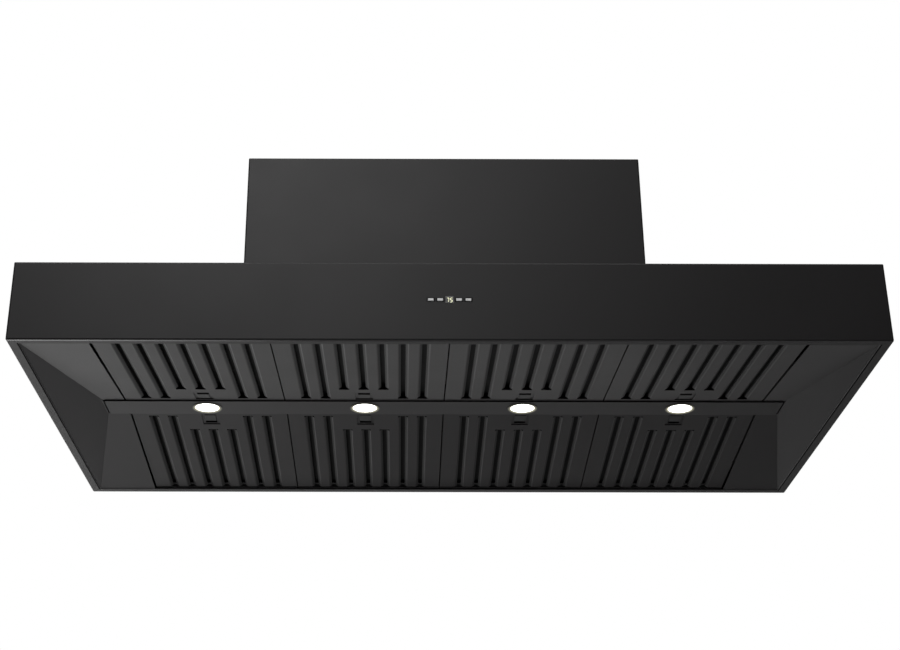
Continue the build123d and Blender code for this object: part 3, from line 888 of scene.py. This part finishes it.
@dataclass
class LightBar:
    """Bar along the ridge with its lit lamps."""

    lamps: int = 4
    body_roughness: float = 0.32
    body_peel: float = 0.0007
    ring_pitch: float = 0.0026
    ring_depth: float = 0.00016
    crown: float = 0.0009
    rolled_edge: float = 0.0004
    face_rows: int = 80
    edge_rows: int = 8
    circle_steps: int = 64

    def dress(self) -> None:
        """Paint on the bar, black bodies in it with a painted glow round the lenses."""
        SATIN_PAINT.dress_nodes("light_bar")
        coat = {"roughness": self.body_roughness, "peel": self.body_peel, "pitch": filter_pitch()}
        LampTrim("lamp_body", LAMP_BLACK, **coat).dress_nodes("lamp_housings")

    def lenses(self) -> None:
        """Lit lenses in place of the plain CAD discs.

        The face is a shallow bowl with rings pressed into it: its height is crown times the square of the
        radius as a share of the lens, plus a cosine of the radius. A rolled edge leads to the flat back.
        """
        low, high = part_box("lamp_lenses")
        radius = (high.y - low.y) / 2.0
        edge = self.rolled_edge
        reach = np.linspace(0.0, radius - edge, self.face_rows)
        rings = self.ring_depth * (1.0 - np.cos(FULL_TURN * reach / self.ring_pitch)) / 2.0
        bowl = low.z + self.crown * (reach / radius) ** 2 + rings
        turn = np.linspace(-np.pi / 2.0, 0.0, self.edge_rows)
        roll_level = bowl[-1] + edge
        profile = joined(
            (reach, bowl),
            (radius - edge + edge * np.cos(turn), roll_level + edge * np.sin(turn)),
            (np.array([radius, 0.0]), np.array([high.z, high.z])),
        )
        places = np.linspace(low.x + radius, high.x - radius, self.lamps)
        pitch = (places[-1] - places[0]) / (self.lamps - 1)
        finish = LitLens("lamp_lens", pitch=pitch, radius=radius)
        grids = [turned(profile, (x, 0.0, 0.0), self.circle_steps) for x in places]
        lenses = piece_from_grids("lamp_diffusers", grids, finish, Body.HOOD)
        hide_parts("lamp_lenses")


class Segment(Enum):
    """Bars of a seven-bar digit that are lit here: middle across and up, as shares of the digit's width and
    half height, and whether the bar is upright."""

    TOP = (0.0, 1.0, False)
    UPPER_LEFT = (-0.5, 0.5, True)
    UPPER_RIGHT = (0.5, 0.5, True)
    MIDDLE = (0.0, 0.0, False)
    LOWER_RIGHT = (0.5, -0.5, True)
    BOTTOM = (0.0, -1.0, False)


SEVEN = (Segment.TOP, Segment.UPPER_RIGHT, Segment.LOWER_RIGHT)
FIVE = (Segment.TOP, Segment.UPPER_LEFT, Segment.MIDDLE, Segment.LOWER_RIGHT, Segment.BOTTOM)


@dataclass
class ControlPanel:
    """Buttons and display in the fascia, with the board behind them."""

    buttons: int = 4
    button_lip: float = 0.001
    button_gap: float = 0.0003
    mark_width: float = 0.0076
    mark_height: float = 0.0037
    digit_width: float = 0.0026
    digit_height: float = 0.0060
    digit_pitch: float = 0.0049
    digit_drop: float = 0.0008
    slant: float = 0.12
    bar_width: float = 0.00085
    bar_gap_share: float = 0.35
    bar_squareness: float = 1.6
    bar_back: float = 0.00001
    bar_rim: float = 0.00004
    bar_crown: float = 0.00006
    bar_rows: int = 11
    bar_points: int = 25
    bezel_width: float = 0.0010
    bezel_proud: float = 0.00025
    bezel_power: float = 0.25
    bezel_rows: int = 9
    bezel_points: int = 65

    def dress(self) -> None:
        """Marked caps, grey glass and the parts behind."""
        low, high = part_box("button_1")
        finish = BarButton(
            "button",
            pitch=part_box("button_2")[0].x - low.x,
            level=(low.z + high.z) / 2.0,
            half_width=self.mark_width / 2.0,
            half_height=self.mark_height / 2.0,
        )
        finish.dress_nodes(*(f"button_{number}" for number in range(1, self.buttons + 1)))
        DISPLAY_GLASS.dress_nodes("display_window")
        CONTROL_PLASTIC.dress_nodes("control_housing")
        BOARD_MASK.dress_nodes("control_board")

    def bar(self, segment: Segment, centre: np.ndarray) -> np.ndarray:
        """One bar of a digit: a pillow on a flat back. Its outline is a rounded strip and its height falls
        off with the square of the share of the way to that outline.

        Args:
            segment: Which bar.
            centre: Middle of the digit on the glass.

        Returns:
            Grid of points.
        """
        across, up, upright = segment.value
        room = self.digit_height / 2.0 if upright else self.digit_width
        length = room - self.bar_gap_share * self.bar_width
        rows = np.linspace(0.0, 2.0, self.bar_rows)
        run, angle = np.meshgrid(rows, np.linspace(0.0, FULL_TURN, self.bar_points))
        share = np.minimum(run, 2.0 - run)
        strip = np.clip(np.cos(angle) * self.bar_squareness, -1.0, 1.0) * length / 2.0 * share
        side = np.sin(angle) * self.bar_width / 2.0 * share
        x, z = (side, strip) if upright else (strip, side)
        x, z = x + across * self.digit_width, z + up * self.digit_height / 2.0
        pillow = self.bar_rim + self.bar_crown * (1.0 - share**2)
        proud = np.where(run <= 1.0, pillow, self.bar_back)
        return np.stack([x + self.slant * z, -proud, z], axis=-1) + centre

    def digits(self) -> None:
        """Two lit digits on the display's glass."""
        low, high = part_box("display_window")
        level = (low.z + high.z) / 2.0 - self.digit_drop
        grids = []
        for side, lit in ((-0.5, SEVEN), (0.5, FIVE)):
            centre = np.array([side * self.digit_pitch, low.y, level])
            grids += [self.bar(segment, centre) for segment in lit]
        piece_from_grids("display_digits", grids, DIGIT_LIGHT, Body.HOOD)

    def bezel(self, low: Vector, high: Vector, fascia: float) -> np.ndarray:
        """Frame round a button: a low half-round profile with a flat back, carried round a rectangle with
        round corners. The way round is a power of the cosine along X and of the sine along Z.

        Args:
            low: Lowest corner of the button.
            high: Highest corner of the button.
            fascia: Place of the fascia's face along Y.

        Returns:
            Grid over the profile and the way round.
        """
        half_x = (high.x - low.x) / 2.0 - self.button_lip + self.button_gap
        half_z = (high.z - low.z) / 2.0 - self.button_lip + self.button_gap
        around = np.linspace(0.0, FULL_TURN, self.bezel_points)
        waves = np.cos(around), np.sin(around)
        ring_x, ring_z = (np.sign(wave) * np.abs(wave) ** self.bezel_power for wave in waves)
        turn = np.append(np.linspace(0.0, np.pi, self.bezel_rows), 0.0)[:, None]
        out = self.bezel_width * (1.0 - np.cos(turn)) / 2.0
        x = (low.x + high.x) / 2.0 + (half_x + out) * ring_x
        z = (low.z + high.z) / 2.0 + (half_z + out) * ring_z
        y = fascia - self.bezel_proud * np.sin(turn) + np.zeros_like(x)
        return np.stack([x, y, z], axis=-1)

    def bezels(self) -> None:
        """Black frames round the buttons."""
        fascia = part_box("canopy_shell")[0].y
        boxes = [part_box(f"button_{number}") for number in range(1, self.buttons + 1)]
        grids = [self.bezel(low, high, fascia) for low, high in boxes]
        piece_from_grids("button_bezels", grids, BEZEL_PLASTIC, Body.HOOD)


@dataclass
class Blower:
    """Airbox, fan, duct collar and wiring box inside the duct cover."""

    sheet: float = 0.0012
    screw_radius: float = 0.0038
    screw_height: float = 0.0024
    screw_inset: float = 0.006
    screw_rows: int = 22
    screw_points: int = 49
    recess_depth: float = 0.0011
    recess_width: float = 0.0011
    recess_reach: float = 0.62
    recess_side: Pair = (0.25, 0.75)
    recess_end: Pair = (0.75, 1.0)
    collar_screws: int = 6
    collar_turn: float = 0.9
    ear_screws: int = 3
    ear_span: float = 0.8
    ear_turn: float = 5.0
    cable_hole: float = 0.011
    box_wall: float = 0.0015
    bead: float = 0.0019
    bead_overlap: float = 0.0004
    bead_points: int = 25

    def dress(self) -> None:
        """Zinc coated sheet, bare aluminium wheel and painted motor."""
        ZINC_SHEET.dress_nodes("airbox", "blower_volute", "outlet_collar", "wiring_box")
        ZINC_SHEET.dress_nodes("left_damper_flap", "right_damper_flap")
        WHEEL_ALUMINIUM.dress_nodes("blower_wheel")
        MOTOR_PAINT.dress_nodes("blower_motor")

    def screw(self, place: Sequence[float], turn: float) -> np.ndarray:
        """Pan head with a cross recess and a flat underside.

        The height is a flat dome, one minus the fourth power of the radius under a square root, less a dent
        that follows the nearer of the two arms of a cross.

        Args:
            place: Middle of the head on the sheet.
            turn: Angle of the cross.

        Returns:
            Grid over radius and angle.
        """
        share = np.append(np.linspace(0.0, 1.0, self.screw_rows), 0.0)[:, None]
        angle = np.linspace(0.0, FULL_TURN, self.screw_points)
        x = self.screw_radius * share * np.cos(angle)
        y = self.screw_radius * share * np.sin(angle)
        dome = self.screw_height * np.sqrt(np.clip(1.0 - share**4, 0.0, 1.0))
        arm = np.minimum(np.abs(x), np.abs(y)) / self.recess_width
        reach = share / self.recess_reach
        dent = self.recess_depth * faded(arm, *self.recess_side) * faded(reach, *self.recess_end)
        height = dome - dent
        height[-1] = 0.0
        cosine, sine = math.cos(turn), math.sin(turn)
        head = np.stack([cosine * x - sine * y, sine * x + cosine * y, height], axis=-1)
        return head + np.asarray(place, dtype=float)

    def fasteners(self) -> None:
        """Screws through the collar's flange and the airbox's ears."""
        low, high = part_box("outlet_collar")
        circle = (high.x - low.x) / 2.0 - self.screw_inset
        grids = []
        for number in range(self.collar_screws):
            angle = FULL_TURN * (number + 0.5) / self.collar_screws
            place = (circle * math.cos(angle), circle * math.sin(angle), low.z + self.sheet)
            grids.append(self.screw(place, self.collar_turn * number))
        piece_from_grids("collar_screws", grids, ZINC_BOLT, Body.HOOD)
        low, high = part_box("airbox")
        reach, level = high.x - self.screw_inset, low.z + self.sheet
        rows = np.linspace(-self.ear_span, self.ear_span, self.ear_screws) * high.y
        places = [(side * reach, y, level) for side in (-1, 1) for y in rows]
        grids = [self.screw(place, self.ear_turn * place[1]) for place in places]
        piece_from_grids("airbox_screws", grids, ZINC_BOLT, Body.HOOD)

    def grommet(self) -> None:
        """Rubber ring in the wiring box's cable hole: a round profile carried round the hole's edge."""
        low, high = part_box("wiring_box")
        turn = np.linspace(0.0, FULL_TURN, self.bead_points)
        radius = self.cable_hole - self.bead_overlap + self.bead * np.cos(turn)
        profile = np.stack([radius, self.bead * np.sin(turn)], axis=-1)
        centre = ((low.x + high.x) / 2.0, (low.y + high.y) / 2.0, high.z - self.box_wall / 2.0)
        piece_from_grids("cable_grommet", [turned(profile, centre)], RUBBER, Body.HOOD)


@dataclass
class PhotoCamera:
    """The photograph's viewpoint, from a fit of corners, seams and lamps. The picture is a crop: axis_point
    is the pixel where the lens's axis meets it."""

    place: Triple = (-0.06566, -2.33388, -1.24702)
    yaw: float = 0.00265
    pitch: float = 0.43766
    roll: float = 0.00113
    focal_pixels: float = 1578.59
    axis_point: Pair = (406.03, 284.04)
    image_size: Pair = (900.0, 650.0)
    sensor: float = 36.0
    sight: float = 100.0

    def build(self) -> None:
        """Makes the scene's camera, turned by yaw, pitch and roll."""
        data = bpy.data.cameras.new("photo_camera")
        data.sensor_width = self.sensor
        width, height = self.image_size
        data.lens = self.sensor * self.focal_pixels / width
        data.shift_x = (width / 2.0 - self.axis_point[0]) / width
        data.shift_y = (self.axis_point[1] - height / 2.0) / width
        data.clip_end = self.sight
        forward = Vector((
            math.sin(self.yaw) * math.cos(self.pitch),
            math.cos(self.yaw) * math.cos(self.pitch),
            math.sin(self.pitch),
        ))
        level = Vector((math.cos(self.yaw), -math.sin(self.yaw), 0.0))
        rise = level.cross(forward)
        right = math.cos(self.roll) * level + math.sin(self.roll) * rise
        up = right.cross(forward)
        axes = Matrix((right, up, -forward)).transposed().to_4x4()
        camera = bpy.data.objects.new("photo_camera", data)
        camera.matrix_world = Matrix.Translation(self.place) @ axes
        bpy.context.scene.collection.objects.link(camera)
        bpy.context.scene.camera = camera


@dataclass(frozen=True)
class FloorFinish(Finish):
    """Pale plain floor, see-through from below and fading out at its edge."""

    color: Color = (0.80, 0.80, 0.80)
    spread: float = 0.03
    cloud: float = 0.4
    roughness: float = 0.8
    fade: Pair = (1.5, 2.4)

    def shader(self, graph: Graph) -> Value:
        """A soft pale surface that is clear from behind and far from its middle.

        Args:
            graph: The material's node tree.

        Returns:
            The shader.
        """
        shade = graph.tint(graph.noise(self.cloud, detail=3.0), self.color, self.spread)
        top = graph.principled({"Base Color": shade, "Roughness": self.roughness})
        clear = graph.node("ShaderNodeBsdfTransparent")
        behind = graph.node("ShaderNodeNewGeometry", out="Backfacing")
        far = graph.reach(graph.along("X")).smooth(*self.fade)
        return graph.layers(far.most(behind), top, clear)


@dataclass
class Softbox:
    """Area light aimed at a point."""

    name: str
    place: Triple
    aim: Triple
    size: Pair
    power: float
    spread: float = 180.0

    def build(self) -> None:
        """Makes the light, which the camera doesn't see."""
        data = bpy.data.lights.new(self.name, "AREA")
        data.shape = "RECTANGLE"
        data.size, data.size_y = self.size
        data.energy = self.power
        data.spread = math.radians(self.spread)
        light = bpy.data.objects.new(self.name, data)
        away = Vector(self.place) - Vector(self.aim)
        turn = away.to_track_quat("Z", "Y").to_matrix().to_4x4()
        light.matrix_world = Matrix.Translation(self.place) @ turn
        light.visible_camera = False
        bpy.context.scene.collection.objects.link(light)


@dataclass
class Studio:
    """Floor, background and lights, which are aimed at the hood's middle, at its underside, or at the left
    part of the canopy's front: its lower fold or its upper edge."""

    floor_level: float = -2.15
    floor_size: float = 4.8
    floor_steps: int = 8
    fill: float = 0.06
    middle: Triple = (0.0, 0.0, -0.2)
    under: Triple = (0.0, 0.0, -0.4)
    fold: Triple = (-0.5, -0.34, -0.4)
    edge: Triple = (-0.4, -0.34, -0.28)

    def floor(self) -> None:
        """A square grid at floor level."""
        half = self.floor_size / 2.0
        edge = np.linspace(-half, half, self.floor_steps + 1)
        x, y = np.meshgrid(edge, edge, indexing="ij")
        points = np.stack([x, y, np.full_like(x, self.floor_level)], axis=-1)
        mesh = bpy.data.meshes.new("floor")
        mesh.from_pydata(points.reshape(-1, 3).tolist(), [], grid_faces(points).tolist())
        floor = bpy.data.objects.new("floor", mesh)
        bpy.context.scene.collection.objects.link(floor)
        FloorFinish("floor").dress(floor)

    def world(self) -> None:
        """White for the camera, an even dim light for every other ray."""
        world = bpy.data.worlds.new("studio")
        world.use_nodes = True
        bpy.context.scene.world = world
        graph = Graph(world.node_tree)
        seen = graph.node("ShaderNodeLightPath", out="Is Camera Ray")
        color = graph.mix(seen, (self.fill, self.fill, self.fill), WHITE)
        sky = graph.node("ShaderNodeBackground", sockets={"Color": color, "Strength": 1.0})
        graph.node("ShaderNodeOutputWorld", sockets={"Surface": sky})

    def lights(self) -> None:
        """Boxes at the front and on top for the outside, low ones behind and beside for the underside."""
        boxes = (
            Softbox("front_high", (-0.68, -3.4, 1.95), self.middle, size=(1.0, 1.0), power=63.0),
            Softbox("back_left", (-2.8, 5.0, -0.9), self.under, size=(2.8, 1.6), power=35.0),
            Softbox("back_middle", (0.0, 5.6, -0.9), self.under, size=(2.8, 1.6), power=15.0),
            Softbox("back_right", (2.8, 5.0, -0.9), self.under, size=(2.8, 1.6), power=7.2),
            Softbox("low_left", (-1.5, 3.4, -1.95), self.under, size=(2.0, 1.2), power=3.0),
            Softbox("right_wall", (3.4, 0.8, -1.1), self.under, size=(2.8, 2.0), power=24.0),
            Softbox("below_left", (-0.92, 0.8, -2.1), self.fold, size=(0.95, 0.7), power=17.0),
            Softbox("back_high", (0.8, 3.6, 1.9), self.middle, size=(3.2, 2.4), power=30.0, spread=120.0),
            Softbox("top", (0.0, 0.6, 2.8), self.middle, size=(3.6, 3.6), power=46.0, spread=110.0),
            Softbox("top_front", (-0.6, -1.0, 2.6), self.edge, size=(3.4, 0.6), power=10.0, spread=120.0),
        )
        for box in boxes:
            box.build()

    def build(self) -> None:
        """Sets up everything that isn't the object."""
        self.floor()
        self.world()
        self.lights()
        bpy.context.scene.view_settings.view_transform = "Standard"


def main() -> None:
    """Builds the sub-assemblies in order, then the studio."""
    logging.basicConfig(level=logging.INFO, format="%(message)s")
    DuctCover().dress()
    Canopy().dress()
    FilterBank().dress()
    bar = LightBar()
    bar.dress()
    bar.lenses()
    panel = ControlPanel()
    panel.dress()
    panel.digits()
    panel.bezels()
    blower = Blower()
    blower.dress()
    blower.fasteners()
    blower.grommet()
    PhotoCamera().build()
    Studio().build()


if __name__ == "__main__":
    main()
